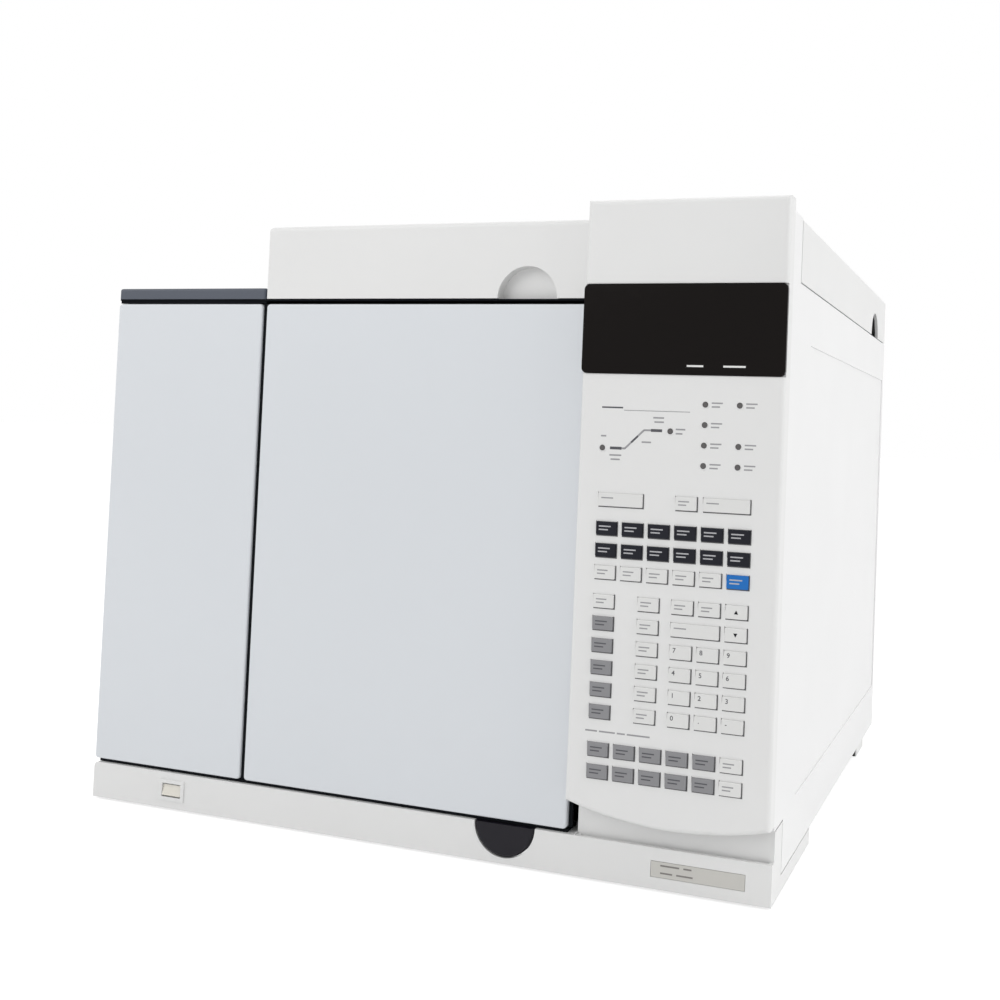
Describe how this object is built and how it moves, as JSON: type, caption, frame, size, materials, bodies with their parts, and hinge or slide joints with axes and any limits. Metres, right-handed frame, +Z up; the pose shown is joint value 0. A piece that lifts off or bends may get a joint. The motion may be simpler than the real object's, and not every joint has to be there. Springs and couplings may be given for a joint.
{
  "type": "gas chromatograph",
  "caption": "Bench-top gas chromatograph with a side-hinged oven door, a lidded inlet bay, and a keypad and display column at the right.",
  "frame": {"origin": "centre of the bounding box, on the bench under the feet", "axes": "+Z up, the front with the door and keypad faces -Y, +X is to the right seen from the front"},
  "size_m": [0.582, 0.5336, 0.491],
  "materials": {
    "door_blue_grey": "satin paint",
    "warm_grey_moulding": "fine textured",
    "side_paint": "fine textured paint",
    "dark_plate": "satin paint",
    "zinc_sheet": "zinc plated",
    "oven_steel": "heat-dulled stainless",
    "insulation_wool": "mineral wool",
    "gasket_cord": "woven glass seal",
    "foot_rubber": "matt",
    "motor_black": "satin",
    "cage_wire": "bright wire",
    "column_polyimide": "amber coated fused silica",
    "port_steel": "turned stainless",
    "fitting_brass": "turned",
    "module_metal": "clear anodised",
    "button_black": "moulded",
    "rocker_cream": "moulded",
    "plate_beige": "matt",
    "window_smoke": "polished",
    "board_green": "lacquered",
    "lamp_dark": "clear lens",
    "supply_metal": "brushed",
    "key_white": "moulded",
    "key_black": "moulded",
    "key_blue": "moulded",
    "key_grey": "moulded"
  },
  "bodies": {
    "cabinet": {"front_apron": "warm_grey_moulding", "rear_top_cover": "warm_grey_moulding", "keypad_bezel": "warm_grey_moulding", "left_side_panel": "side_paint", "right_side_panel": "side_paint", "rear_panel": "side_paint", "left_top_cover": "dark_plate", "base_pan": "zinc_sheet", "bay_bulkhead": "zinc_sheet", "oven_front_frame": "zinc_sheet", "oven_top_deck": "zinc_sheet", "hinge_brackets": "zinc_sheet", "exhaust_duct": "zinc_sheet", "oven_liner": "oven_steel", "fan_shroud": "oven_steel", "temperature_sensor": "oven_steel", "heater_coil": "oven_steel", "oven_insulation": "insulation_wool", "feet": "foot_rubber", "fan_motor": "motor_black", "column_cage": "cage_wire", "column_coil": "column_polyimide", "front_inlet": "port_steel", "back_inlet": "port_steel", "front_detector": "port_steel", "back_detector": "port_steel", "gas_fittings": "fitting_brass", "pneumatics_modules": "module_metal", "switch_housing": "button_black", "power_inlet": "button_black", "name_plate": "plate_beige", "display_window": "window_smoke", "display_module": "board_green", "keypad_board": "board_green", "main_board": "board_green", "status_lamps": "lamp_dark", "power_supply": "supply_metal"},
    "oven_door": {"door_skin_left": "door_blue_grey", "door_skin_right": "door_blue_grey", "door_inner_pan": "zinc_sheet", "door_insulation": "insulation_wool", "door_gasket": "gasket_cord", "door_hinge_pins": "zinc_sheet", "door_striker": "zinc_sheet"},
    "latch": {"latch_button": "button_black"},
    "lid": {"inlet_lid": "warm_grey_moulding"},
    "bay_cover": {"electronics_cover": "warm_grey_moulding"},
    "rocker": {"power_rocker": "rocker_cream"},
    "fan": {"oven_fan": "oven_steel"},
    "flap": {"exhaust_flap": "zinc_sheet"},
    "stop_key": {"stop_key": "key_white"},
    "prep_key": {"prep_key": "key_white"},
    "start_key": {"start_key": "key_white"},
    "menu_keys": {"menu_keys": "key_black"},
    "white_keys": {"white_keys": "key_white"},
    "info_key": {"info_key": "key_blue"},
    "arrow_keys": {"arrow_keys": "key_white"},
    "enter_key": {"enter_key": "key_white"},
    "number_keys": {"number_keys": "key_white"},
    "grey_keys": {"grey_keys": "key_grey"}
  },
  "joints": [
    {"name": "door_swing", "type": "hinge", "parent": "cabinet", "child": "oven_door", "pos_m": [-0.282, -0.24225, 0.225], "axis": [0, 0, -1], "range_deg": [0, 110]},
    {"name": "latch_press", "type": "slide", "parent": "cabinet", "child": "latch", "axis": [0, 1, 0], "range_m": [0, 0.005], "stiffness_N_per_m": 1500, "springref_m": -0.001},
    {"name": "lid_lift", "type": "hinge", "parent": "cabinet", "child": "lid", "pos_m": [-0.002, 0.05005, 0.48], "axis": [-1, 0, 0], "range_deg": [0, 100]},
    {"name": "bay_cover_lift", "type": "slide", "parent": "cabinet", "child": "bay_cover", "axis": [0, 0, 1], "range_m": [0, 0.06]},
    {"name": "power_rock", "type": "hinge", "parent": "cabinet", "child": "rocker", "pos_m": [-0.21075, -0.25025, 0.017], "axis": [1, 0, 0], "range_deg": [0, 20]},
    {"name": "fan_spin", "type": "hinge", "parent": "cabinet", "child": "fan", "pos_m": [-0.076, -0.01225, 0.2205], "axis": [0, 1, 0], "continuous": true},
    {"name": "flap_turn", "type": "hinge", "parent": "cabinet", "child": "flap", "pos_m": [0.009, 0.21875, 0.328], "axis": [1, 0, 0], "range_deg": [0, 80]},
    {"name": "stop_key_press", "type": "slide", "parent": "cabinet", "child": "stop_key", "axis": [0, 1, 0], "range_m": [0, 0.0015], "stiffness_N_per_m": 400, "springref_m": -0.0005},
    {"name": "prep_key_press", "type": "slide", "parent": "cabinet", "child": "prep_key", "axis": [0, 1, 0], "range_m": [0, 0.0015], "stiffness_N_per_m": 400, "springref_m": -0.0005},
    {"name": "start_key_press", "type": "slide", "parent": "cabinet", "child": "start_key", "axis": [0, 1, 0], "range_m": [0, 0.0015], "stiffness_N_per_m": 400, "springref_m": -0.0005},
    {"name": "menu_keys_press", "type": "slide", "parent": "cabinet", "child": "menu_keys", "axis": [0, 1, 0], "range_m": [0, 0.0015], "stiffness_N_per_m": 400, "springref_m": -0.0005},
    {"name": "white_keys_press", "type": "slide", "parent": "cabinet", "child": "white_keys", "axis": [0, 1, 0], "range_m": [0, 0.0015], "stiffness_N_per_m": 400, "springref_m": -0.0005},
    {"name": "info_key_press", "type": "slide", "parent": "cabinet", "child": "info_key", "axis": [0, 1, 0], "range_m": [0, 0.0015], "stiffness_N_per_m": 400, "springref_m": -0.0005},
    {"name": "arrow_keys_press", "type": "slide", "parent": "cabinet", "child": "arrow_keys", "axis": [0, 1, 0], "range_m": [0, 0.0015], "stiffness_N_per_m": 400, "springref_m": -0.0005},
    {"name": "enter_key_press", "type": "slide", "parent": "cabinet", "child": "enter_key", "axis": [0, 1, 0], "range_m": [0, 0.0015], "stiffness_N_per_m": 400, "springref_m": -0.0005},
    {"name": "number_keys_press", "type": "slide", "parent": "cabinet", "child": "number_keys", "axis": [0, 1, 0], "range_m": [0, 0.0015], "stiffness_N_per_m": 400, "springref_m": -0.0005},
    {"name": "grey_keys_press", "type": "slide", "parent": "cabinet", "child": "grey_keys", "axis": [0, 1, 0], "range_m": [0, 0.0015], "stiffness_N_per_m": 400, "springref_m": -0.0005}
  ]
}
